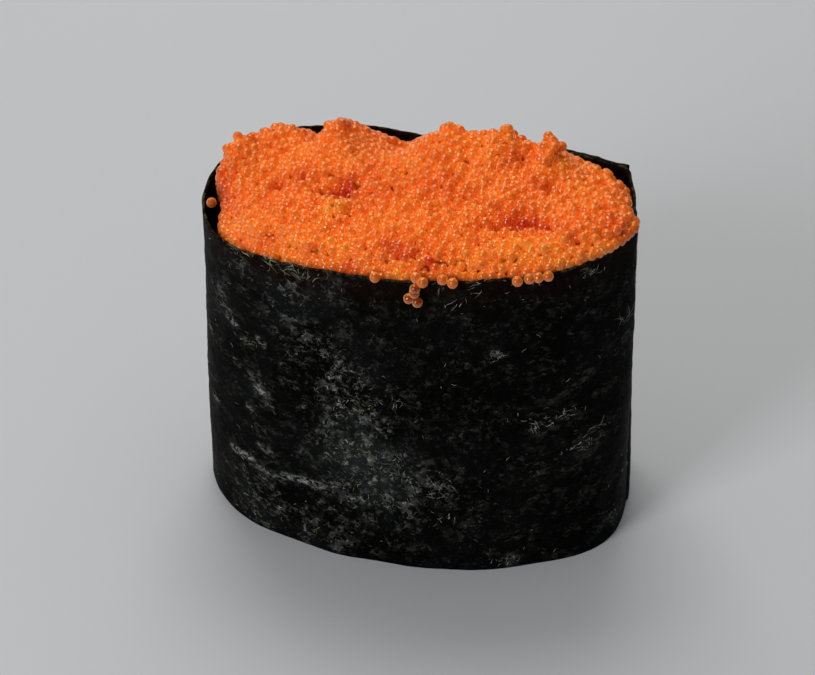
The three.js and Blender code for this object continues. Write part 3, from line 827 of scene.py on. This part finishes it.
# %% The side of the heap in the hollow at the left end, four eggs deep
SIDE_COLUMNS = 13
SIDE_DEPTHS = [1.1, 2.0, 2.9, 3.8]
side_count = SIDE_COLUMNS * len(SIDE_DEPTHS)
side_spread = np.tile(np.linspace(-0.34, 0.30, SIDE_COLUMNS), len(SIDE_DEPTHS))
side_angles = HOLLOW_ANGLE + side_spread + rng.normal(0, 0.01, side_count)
side_reach = heap_reach(side_angles, EGG / 2 + 0.1)
side_x, side_y = side_reach * np.cos(side_angles), side_reach * np.sin(side_angles)
side_depth = np.repeat(SIDE_DEPTHS, SIDE_COLUMNS) + rng.normal(0, 0.15, side_count)
side_eggs = np.column_stack([side_x, side_y, heap_height(side_x, side_y) - side_depth])
eggs = np.vstack([eggs, side_eggs])
print(len(side_eggs), "eggs on the side of the hollow")

# %% A row of eggs against the sheet on the right front
# They lie just behind the rim, and climb onto it towards the right end.
ROW_COUNT = 17
CLIMB_OUT, CLIMB_UP = 0.45, 0.35
row_angles = np.linspace(5.63, 6.19, ROW_COUNT) + rng.normal(0, 0.007, ROW_COUNT)
climbed = smooth(5.78, 5.98, row_angles)
row_out = rng.uniform(-0.86, -0.70, ROW_COUNT) + CLIMB_OUT * climbed
row_eggs = wall_point(row_angles, 1.0, row_out)
row_eggs[:, 2] += rng.uniform(-0.10, 0.18, ROW_COUNT) + CLIMB_UP * climbed
eggs = np.vstack([eggs, row_eggs])
egg_sizes = np.append(egg_sizes, np.full(len(side_eggs) + len(row_eggs), EGG / 2))
print(len(eggs), "eggs packed, the highest at", eggs[:, 2].max().round(2), "mm")

# %% Loose eggs on the rim, down the front and on the left inner wall
# Angle, height above the rim, distance outwards from the band's outer face.
RIM_EGGS = [
    (4.615, 0.35, 0.15), (4.925, 0.30, 0.52), (5.046, 0.40, 0.20), (5.108, 0.20, 0.52),
    (5.461, -0.10, 0.40), (5.520, -0.02, 0.30), (5.563, -0.02, 0.30), (5.610, -0.05, 0.30),
    (4.878, -0.42, 0.60), (4.875, -0.90, 0.62), (4.840, -1.59, 0.60), (4.894, -2.08, 0.60),
    (4.880, 0.55, 0.05),
]
# This one clings to the inner wall.
STRAY = (3.331, 0.35, -SHEET_INSIDE - 0.64)
rim_eggs = np.array([wall_point(egg_angle, 1.0, out) + [0, 0, above]
                     for egg_angle, above, out in RIM_EGGS + [STRAY]])
# Those that hang over the dark band get a painted darker middle: the dark band seen through them.
HANGING_PAINTED_SHADE_TONE, RIM_TONE, STRAY_TONE = 0.1, 0.75, 0.4
rim_tones = [HANGING_PAINTED_SHADE_TONE if above < -0.3 else RIM_TONE for _, above, _ in RIM_EGGS]
rim_tones.append(STRAY_TONE)
print(len(rim_eggs), "loose eggs")

# %% [markdown]
# ## Many eggs in one mesh
# A ball of eighty faces looks round at this size once it is shaded smooth. One
# such ball is made with the icosphere operator, turned a few ways so that its
# faces never line up, and copied to every place with NumPy. Each egg carries
# a number of its own that the finish reads: its tone, from deep red to golden.

# %% One ball, and many of them in one mesh
BALL_TURNS = 24


def ball_shape(divisions):
    """The corners and faces of a ball of radius 1."""
    ball = bmesh.new()
    bmesh.ops.create_icosphere(ball, subdivisions=divisions, radius=1.0)
    corners = np.array([vertex.co[:] for vertex in ball.verts])
    faces = np.array([[vertex.index for vertex in face.verts] for face in ball.faces])
    ball.free()
    return corners, faces


def many(name, shape, places, sizes, numbers, material):
    """One mesh of many small bodies, each turned at random."""
    corners, faces = shape
    count = len(places)
    turns = [np.array(Quaternion(rng.normal(0, 1, 4)).normalized().to_matrix())
             for _ in range(BALL_TURNS)]
    turned_shapes = np.array([corners @ turn.T for turn in turns])
    chosen = turned_shapes[rng.integers(0, len(turns), count)]
    points = chosen * np.asarray(sizes)[:, None, None] + np.asarray(places)[:, None, :]
    all_faces = faces[None] + (np.arange(count) * len(corners))[:, None, None]
    mesh = bpy.data.meshes.new(name)
    mesh.from_pydata(placed(points.reshape(-1, 3)).tolist(), [], all_faces.reshape(-1, 3).tolist())
    for title, values in numbers.items():
        layer = mesh.attributes.new(title, "FLOAT", "POINT")
        layer.data.foreach_set("value", np.repeat(values, len(corners)).astype(np.float32))
    return keep_mesh(name, mesh, material)


egg_ball, fine_ball = ball_shape(2), ball_shape(3)
print("a packed egg has", len(egg_ball[1]), "faces and a loose one", len(fine_ball[1]))

# %% Tones of the eggs
GOLDEN_STRENGTH, RED_SHADE_STRENGTH = 0.42, 0.5
# Where the heap looks golden, and where it is redder, partly the roe's own tone and
# partly painted shade in its hollows and crevices: x, y, reach, strength.
GOLDEN_PATCHES = [(-8.1, -6.6, 1.3, 1.4), (-1.2, -5.6, 2.2, 0.6), (-7.2, -11.6, 1.2, 0.7),
                  (-5.5, -12.4, 1.2, 0.6), (-10.6, -10.5, 1.6, 0.4), (-16.5, -8.4, 1.8, 0.5),
                  (12.7, -9.4, 2.0, 0.7), (15.0, -9.2, 1.6, 0.5), (10.0, -11.0, 1.8, 0.4),
                  (7.6, -12.0, 1.6, 0.4), (0.4, -14.5, 1.1, 0.9), (5.2, 3.2, 2.2, 0.4),
                  (-8.4, 1.6, 1.6, 0.4), (18.6, 1.8, 1.8, 0.3)]
RED_SHADE_PATCHES = [(-7.5, -1.8, 1.2, 0.9), (-8.4, -3.8, 1.4, 0.9), (-9.8, -6.2, 0.8, 0.8),
               (-14.9, -2.9, 0.8, 0.9), (-13.8, -10.8, 0.7, 0.7), (-0.6, -11.6, 1.2, 0.7),
               (1.0, -12.8, 0.9, 0.9), (-4.7, -14.1, 1.0, 0.6), (3.7, -13.5, 0.6, 1.0),
               (7.0, -6.8, 1.5, 0.35), (9.4, -6.0, 1.4, 0.45), (10.8, -5.6, 0.8, 0.35),
               (11.9, -5.5, 0.9, 0.6), (12.9, -5.6, 1.1, 1.1), (13.8, -6.0, 1.1, 1.3),
               (14.6, -6.7, 0.8, 1.2), (11.0, -4.0, 1.6, 0.35), (7.7, -9.8, 1.2, 0.55),
               (17.5, -8.0, 0.7, 0.9), (13.6, 0.2, 0.9, 0.8), (2.3, -0.8, 1.8, 0.5),
               (20.6, -4.8, 1.4, 0.5), (9.3, 3.9, 0.9, 0.6), (-20.8, -4.2, 1.4, 0.8),
               (-21.3, -2.1, 1.2, 0.7), (-12.5, -1.4, 1.2, 0.4)]


def patch_share(points, patches):
    """How much each point lies in the patches, 0 to 1."""
    shares = [np.exp(-(((points[:, 0] - x) ** 2 + (points[:, 1] - y) ** 2) / wide ** 2)) * strength
              for x, y, wide, strength in patches]
    return np.clip(np.sum(shares, axis=0), 0, 1)


def roe_tone(points):
    """0 for deep red, 1 for golden, with slow changes over the heap. The redder
    hollows and crevices are partly painted shade.
    """
    flat_points = points * [1, 1, 0]
    broad, fine = grain_noise(flat_points, 5.0, 11), grain_noise(flat_points, 2.2, 12)
    golden = GOLDEN_STRENGTH * patch_share(points, GOLDEN_PATCHES)
    red = RED_SHADE_STRENGTH * patch_share(points, RED_SHADE_PATCHES)
    return 0.5 + 0.16 * broad + 0.14 * fine + golden - red


egg_tones = np.clip(roe_tone(eggs) + rng.normal(0, 0.035, len(eggs)), 0, 1)
print("tones run from", egg_tones.min().round(2), "to", egg_tones.max().round(2))


# %% [markdown]
# ## How roe looks
# Each egg is a clear skin round an orange oil. Light goes in, scatters and
# comes out elsewhere, so the heap glows and its hollows turn red instead of
# black. A single egg over the dark band looks different: a darker middle with
# a bright rim, because it bends the light like a lens. Subsurface scattering
# gives the glow. The lens is painted: a painted highlight brightens each egg
# towards its edge, and single eggs over the band get a painted darker middle,
# the dark band seen through them. A coat gives the wet glint.

# %% Roe finish
HEAP_RAMP = [(0.0, (0.56, 0.034, 0.008)), (0.3, (0.79, 0.118, 0.013)), (0.55, (0.88, 0.180, 0.019)),
             (0.8, (0.91, 0.235, 0.025)), (1.0, (0.93, 0.295, 0.034))]
SINGLE_RAMP = [(0.0, (0.32, 0.040, 0.004)), (1.0, (0.92, 0.175, 0.012))]


def roe_finish(name, stops, reach, wet, edge, ring, painted_rim_colour):
    """Colour by the egg's tone, from a ramp with stops, with a painted highlight towards the edge.

    reach is how far light goes inside, in metres, and wet is the coat. edge is how
    much of painted_rim_colour, a painted highlight, an egg has, for a red one and
    for a golden one, and ring is where that starts and ends, 0 in the middle of the
    egg and 1 at its edge.
    """
    material, tree, shader = new_finish(name)
    tone = add(tree, "ShaderNodeAttribute", {"attribute_name": "tone"}).outputs["Fac"]
    body = ramp(tree, tone, stops)
    # A painted highlight: the colour brightens towards the egg's edge, as the bright rim of a lens.
    facing = add(tree, "ShaderNodeLayerWeight", Blend=0.4).outputs["Facing"]
    most = add(tree, "ShaderNodeMapRange", Value=tone, From_Max=0.5,
               To_Min=edge[0], To_Max=edge[1]).outputs[0]
    painted_rim_share = add(tree, "ShaderNodeMapRange", {"interpolation_type": "SMOOTHSTEP"},
                 Value=facing, From_Min=ring[0], From_Max=ring[1], To_Max=most).outputs[0]
    tree.links.new(mixed(tree, painted_rim_share, body, painted_rim_colour), shader.inputs["Base Color"])
    shader.inputs["Roughness"].default_value = 0.4
    shader.inputs["IOR"].default_value = 1.3
    shader.inputs["Specular IOR Level"].default_value = 0.0
    shader.subsurface_method = "BURLEY"
    shader.inputs["Subsurface Weight"].default_value = 1.0
    shader.inputs["Subsurface Radius"].default_value = (1.0, 0.80, 0.50)
    shader.inputs["Subsurface Scale"].default_value = reach
    shader.inputs["Coat Weight"].default_value = wet
    shader.inputs["Coat Roughness"].default_value = 0.12
    shader.inputs["Coat IOR"].default_value = 1.8
    return material


roe = roe_finish("roe", HEAP_RAMP, reach=0.0015, wet=1.0,
                 edge=(0.10, 0.45), ring=(0.25, 0.80), painted_rim_colour=(1.0, 0.44, 0.07))
clear_roe = roe_finish("clear_roe", SINGLE_RAMP, reach=0.0005, wet=1.0,
                       edge=(0.90, 0.70), ring=(0.18, 0.58), painted_rim_colour=(1.0, 0.45, 0.11))
print("finishes made for the eggs of the heap and for single eggs")

# %% Put the eggs in place
RIM_EGG_SIZE = 0.94
heap = many("roe_eggs", egg_ball, eggs, egg_sizes, {"tone": egg_tones}, roe)
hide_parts("roe_heap")
rim_sizes = np.full(len(rim_eggs), EGG / 2 * RIM_EGG_SIZE)
many("rim_eggs", fine_ball, rim_eggs, rim_sizes, {"tone": rim_tones}, clear_roe)

# %% [markdown]
# ## The core of the heap
# Below the eggs that show, the heap is a plain body. It closes the view
# between the eggs with their own deep colour. A disc of rings is lifted to
# just under the surface and closed with a wall and a floor. Where the heap has
# drawn back from the band, the floor still reaches the band as a low ledge, so
# that roe and not rice shows at the bottom of the gap.

# %% Core under the eggs: a profile spun round
CORE_RINGS, CORE_SPOKES = 47, 170
# In the profile the height is only a mark of what a point becomes.
TOP_MARK, LEDGE_MARK, FLOOR_MARK = 1, 0.5, 0
core = bmesh.new()
profile = [core.verts.new((reach, 0, TOP_MARK)) for reach in np.linspace(0, 1, CORE_RINGS)]
profile += [core.verts.new((1, 0, LEDGE_MARK)), core.verts.new((1, 0, FLOOR_MARK)),
            core.verts.new((0, 0, FLOOR_MARK))]
for first, second in zip(profile, profile[1:]):
    core.edges.new((first, second))
bmesh.ops.spin(core, geom=core.verts[:] + core.edges[:], cent=(0, 0, 0), axis=(0, 0, 1),
               angle=TURN, steps=CORE_SPOKES, use_merge=True)
bmesh.ops.remove_doubles(core, verts=core.verts, dist=1e-5)
print("core of", len(core.verts), "points")

# %% Core under the eggs: each point carried to its place
# Depth under the tops of the eggs, heights above the floor, distance from the wall.
CORE_SINK = 0.85
CORE_FLOOR = 28.9
LEDGE = 30.2
CORE_INSET = 0.25
HOLLOW_INSET = [(HOLLOW_ANGLE, 0.22, 0.9)]
plan = np.array([vertex.co[:] for vertex in core.verts])
way = np.arctan2(plan[:, 1], plan[:, 0])
at_floor = plan[:, 2] < (FLOOR_MARK + LEDGE_MARK) / 2
at_top = plan[:, 2] > (LEDGE_MARK + TOP_MARK) / 2
reach_out = heap_reach(way, CORE_INSET + mounds(way, HOLLOW_INSET))
wall_reach = oval_radius(way) + ripple(way % TURN, 1.0) - SHEET_INSIDE - CORE_INSET
reach_out[at_floor] = wall_reach[at_floor]
out = np.hypot(plan[:, 0], plan[:, 1]) * reach_out
x, y = out * np.cos(way), out * np.sin(way)
top = heap_height(x, y) + EGG_PROUD - CORE_SINK * steepness(x, y)
shaped = np.column_stack([x, y, np.select([at_top, at_floor], [top, CORE_FLOOR], LEDGE)])
core_tone = core.verts.layers.float.new("tone")
for vertex, point, tone in zip(core.verts, placed(shaped), roe_tone(shaped)):
    vertex.co = point
    vertex[core_tone] = float(np.clip(tone, 0, 1))
bmesh.ops.recalc_face_normals(core, faces=core.faces)
roe_core = roe_finish("roe_core", HEAP_RAMP, reach=0.0020, wet=0.0,
                      edge=(0.0, 0.0), ring=(0.0, 1.0), painted_rim_colour=(1.0, 0.5, 0.16))
keep_piece("roe_core_body", core, roe_core)

# %% [markdown]
# ## The bed of rice
# A gunkan is a ball of pressed rice in its band, so looking up from below one
# sees grains. A cooked grain is about 5.6 mm long, plump, a little bent, and
# blunt at one end where the germ was. The grains lie in two shallow layers, at
# all angles, on a plain core that fills the band up to the roe.

# %% A grain, and places for many
# A grain's half length, half width and half height, and how it tapers and bends.
GRAIN = (2.8, 1.3, 1.15)
GRAIN_TAPER = 0.14
GRAIN_BEND = 0.22
GRAIN_DIP = 0.1
# Grains are pushed apart in rounds, and those this near to the wall lie along it.
SPREAD_ROUNDS = 60
SPREAD_SHARE = 0.3
NEAR_WALL = 0.6
# The two layers: count, spacing, distance from the wall, height, tilt in radians.
RICE_LAYERS = [(105, 3.3, 2.2, 0.0, 0.12), (90, 3.6, 2.4, 1.9, 0.35)]
rice_rng = np.random.default_rng(33)


def rice_shape():
    """A ball drawn out to a grain, slimmer at one end and a little bent."""
    corners, faces = ball_shape(2)
    corners = corners * GRAIN
    share = corners[:, 0] / GRAIN[0]
    corners[:, 1] *= 1 - GRAIN_TAPER * share
    corners[:, 2] += GRAIN_BEND * share ** 2 - GRAIN_DIP
    return corners, faces


def spread_grains(count, spacing, inset):
    """Places under the band, pushed apart until they are evenly spread."""
    found = []
    while len(found) < count:
        x, y = rice_rng.uniform(-24, 24), rice_rng.uniform(-16, 16)
        if math.hypot(x, y) < oval_radius(math.atan2(y, x), 0.0) - inset:
            found.append((x, y))
    plan = np.array(found)
    not_itself = np.eye(count) * 99
    for _ in range(SPREAD_ROUNDS):
        away = plan[:, None] - plan[None]
        gap = np.hypot(away[..., 0], away[..., 1]) + not_itself
        push = np.clip(spacing - gap, 0, None) / gap * SPREAD_SHARE
        plan += (push[..., None] * away).sum(axis=1)
        reach = oval_radius(np.arctan2(plan[:, 1], plan[:, 0]), 0.0) - inset
        plan /= np.maximum(np.hypot(plan[:, 0], plan[:, 1]) / reach, 1)[:, None]
    return plan


print("two layers of", RICE_LAYERS[0][0], "and", RICE_LAYERS[1][0], "grains")


# %% Grains of rice on the underside
def grains_mesh(name, layers, material):
    """All grains in one mesh, each turned its own way and lifted off the floor."""
    corners, faces = rice_shape()
    points, all_faces = [], []
    for count, spacing, inset, height, tilt in layers:
        for x, y in spread_grains(count, spacing, inset):
            way = math.atan2(y, x)
            near_wall = math.hypot(x, y) > oval_radius(way, 0.0) - inset - NEAR_WALL
            heading = way + math.pi / 2 if near_wall else rice_rng.uniform(0, TURN)
            turn = (Matrix.Rotation(heading, 3, "Z")
                    @ Matrix.Rotation(rice_rng.normal(0, tilt), 3, "Y")
                    @ Matrix.Rotation(rice_rng.uniform(0, TURN), 3, "X"))
            grain = corners @ np.array(turn).T * rice_rng.uniform(0.9, 1.04)
            lift = max(height, -grain[:, 2].min())
            all_faces.append(faces + len(points) * len(corners))
            points.append(grain + [x, y, lift])
    mesh = bpy.data.meshes.new(name)
    mesh.from_pydata(placed(np.vstack(points)).tolist(), [], np.vstack(all_faces).tolist())
    print(len(points), "grains")
    return keep_mesh(name, mesh, material)


rice, tree, shader = new_finish("rice")
object_place = add(tree, "ShaderNodeTexCoord").outputs["Object"]
cloud = add(tree, "ShaderNodeTexNoise", Vector=object_place, Scale=320.0, Detail=3.0)
starch = add(tree, "ShaderNodeTexNoise", Vector=object_place, Scale=2600.0, Detail=4.0)
rice_colour = ramp(tree, cloud.outputs["Fac"], [
    (0.3, (0.66, 0.62, 0.53)), (0.55, (0.78, 0.75, 0.68)), (0.8, (0.86, 0.84, 0.79))])
tree.links.new(rice_colour, shader.inputs["Base Color"])
shader.inputs["Roughness"].default_value = 0.34
shader.inputs["Subsurface Weight"].default_value = 0.8
shader.inputs["Subsurface Radius"].default_value = (1.0, 0.85, 0.6)
shader.inputs["Subsurface Scale"].default_value = 0.0012
shader.inputs["Coat Weight"].default_value = 0.3
shader.inputs["Coat Roughness"].default_value = 0.2
rice_bump = add(tree, "ShaderNodeBump", Height=starch.outputs["Fac"],
                Strength=0.4, Distance=0.00006)
tree.links.new(rice_bump.outputs[0], shader.inputs["Normal"])
grains = grains_mesh("rice_grains", RICE_LAYERS, rice)
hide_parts("rice_bed")

# %% Core of the rice
# Its top and bottom above the floor, and its distance from the sheet.
RICE_TOP = 28.6
RICE_BOTTOM = 1.5
RICE_INSET = 0.35
bed = bmesh.new()
bmesh.ops.create_circle(bed, segments=128, radius=1.0, cap_ends=True)
up = bmesh.ops.extrude_face_region(bed, geom=bed.faces[:])
raised = {item for item in up["geom"] if isinstance(item, bmesh.types.BMVert)}
for vertex in bed.verts:
    way = math.atan2(vertex.co.y, vertex.co.x) % TURN
    height = RICE_TOP if vertex in raised else RICE_BOTTOM
    level = height / float(rim_height(way)) if vertex in raised else height / STRIP_HEIGHT
    point = wall_point(way, level, -SHEET_INSIDE - RICE_INSET)
    point[2] = height
    vertex.co = placed(point)
bmesh.ops.recalc_face_normals(bed, faces=bed.faces)
keep_piece("rice_core", bed, rice, smooth_faces=False)

# %% [markdown]
# ## Stage, light and camera
# The piece stands on a pale floor. A broad soft light hangs over it, and a
# smaller key light stands a little behind and to the left. A low light from
# behind and one from the left front fill the sides. Wet eggs mirror everything
# round them, so the big lights and the surroundings are kept out of their
# reflections. A small warm light that shows only in reflections gives each egg
# its glint.

# %% Floor
FLOOR_HALF = 1.5
floor_mesh = bmesh.new()
bmesh.ops.create_grid(floor_mesh, x_segments=1, y_segments=1, size=FLOOR_HALF)
mesh = bpy.data.meshes.new("floor")
floor_mesh.to_mesh(mesh)
floor_mesh.free()
floor = bpy.data.objects.new("floor", mesh)
bpy.context.collection.objects.link(floor)
floor_finish, tree, shader = new_finish("floor")
shader.inputs["Base Color"].default_value = (0.70, 0.71, 0.72, 1.0)
shader.inputs["Roughness"].default_value = 0.9
shader.inputs["Specular IOR Level"].default_value = 0.1
mesh.materials.append(floor_finish)
print("floor", 2 * FLOOR_HALF, "m across")


# %% Lights
def soft_light(name, place, aim, size, power, colour, lights=True, mirrored=True):
    """A rectangle of light; it may be kept from lighting or from being mirrored."""
    lamp = bpy.data.lights.new(name, "AREA")
    lamp.shape = "RECTANGLE"
    lamp.size, lamp.size_y = size
    lamp.energy = power
    lamp.color = colour
    holder = bpy.data.objects.new(name, lamp)
    holder.location = place
    holder.rotation_euler = (Vector(aim) - Vector(place)).to_track_quat("-Z", "Y").to_euler()
    holder.visible_diffuse = lights
    holder.visible_glossy = mirrored
    bpy.context.collection.objects.link(holder)


# Places, aims and sizes of the lights are in metres.
MIDDLE = (0, 0, 0.03)
soft_light("overhead", (0.0, 0.14, 0.50), MIDDLE, (0.70, 0.70), 0.60,
           (1.0, 0.99, 0.98), mirrored=False)
soft_light("glint_light", (-0.12, 0.10, 0.44), MIDDLE, (0.24, 0.20), 1.15,
           (1.0, 0.60, 0.27), lights=False)
soft_light("key_light", (-0.06, 0.17, 0.43), MIDDLE, (0.20, 0.17), 0.58,
           (1.0, 0.98, 0.95), mirrored=False)
soft_light("back_light", (-0.10, 0.40, 0.27), (0, 0, 0.035), (0.40, 0.06), 0.28,
           (1.0, 0.98, 0.96))
soft_light("left_light", (-0.22, -0.33, 0.22), (0, 0, 0.02), (0.14, 0.18), 0.75,
           (0.96, 0.98, 1.0))
world = bpy.data.worlds.new("surroundings")
world.use_nodes = True
background = world.node_tree.nodes["Background"]
background.inputs["Color"].default_value = (0.80, 0.84, 0.90, 1.0)
background.inputs["Strength"].default_value = 0.13
bpy.context.scene.world = world
world.cycles_visibility.glossy = False
print(len(bpy.data.lights), "lights and the surroundings")

# %% Camera
SENSOR_WIDTH = 36.0
IMAGE_WIDTH = 815
# The lens's focal length, counted in pixels of the image.
FOCAL_PIXELS = 2200
camera_data = bpy.data.cameras.new("camera")
camera_data.sensor_width = SENSOR_WIDTH
camera_data.lens = FOCAL_PIXELS * SENSOR_WIDTH / IMAGE_WIDTH
camera = bpy.data.objects.new("camera", camera_data)
stand = placed([37.617, -194.489, 166.523])
aim = placed([-1.304, -0.261, 19.80])
camera.location = stand
camera.rotation_euler = (Vector(aim) - Vector(stand)).to_track_quat("-Z", "Y").to_euler()
bpy.context.collection.objects.link(camera)
bpy.context.scene.camera = camera
bpy.context.scene.view_settings.view_transform = "Standard"
print("camera stands", round((Vector(aim) - Vector(stand)).length, 3), "m from its aim")

# %% The end
bpy.context.view_layer.update()
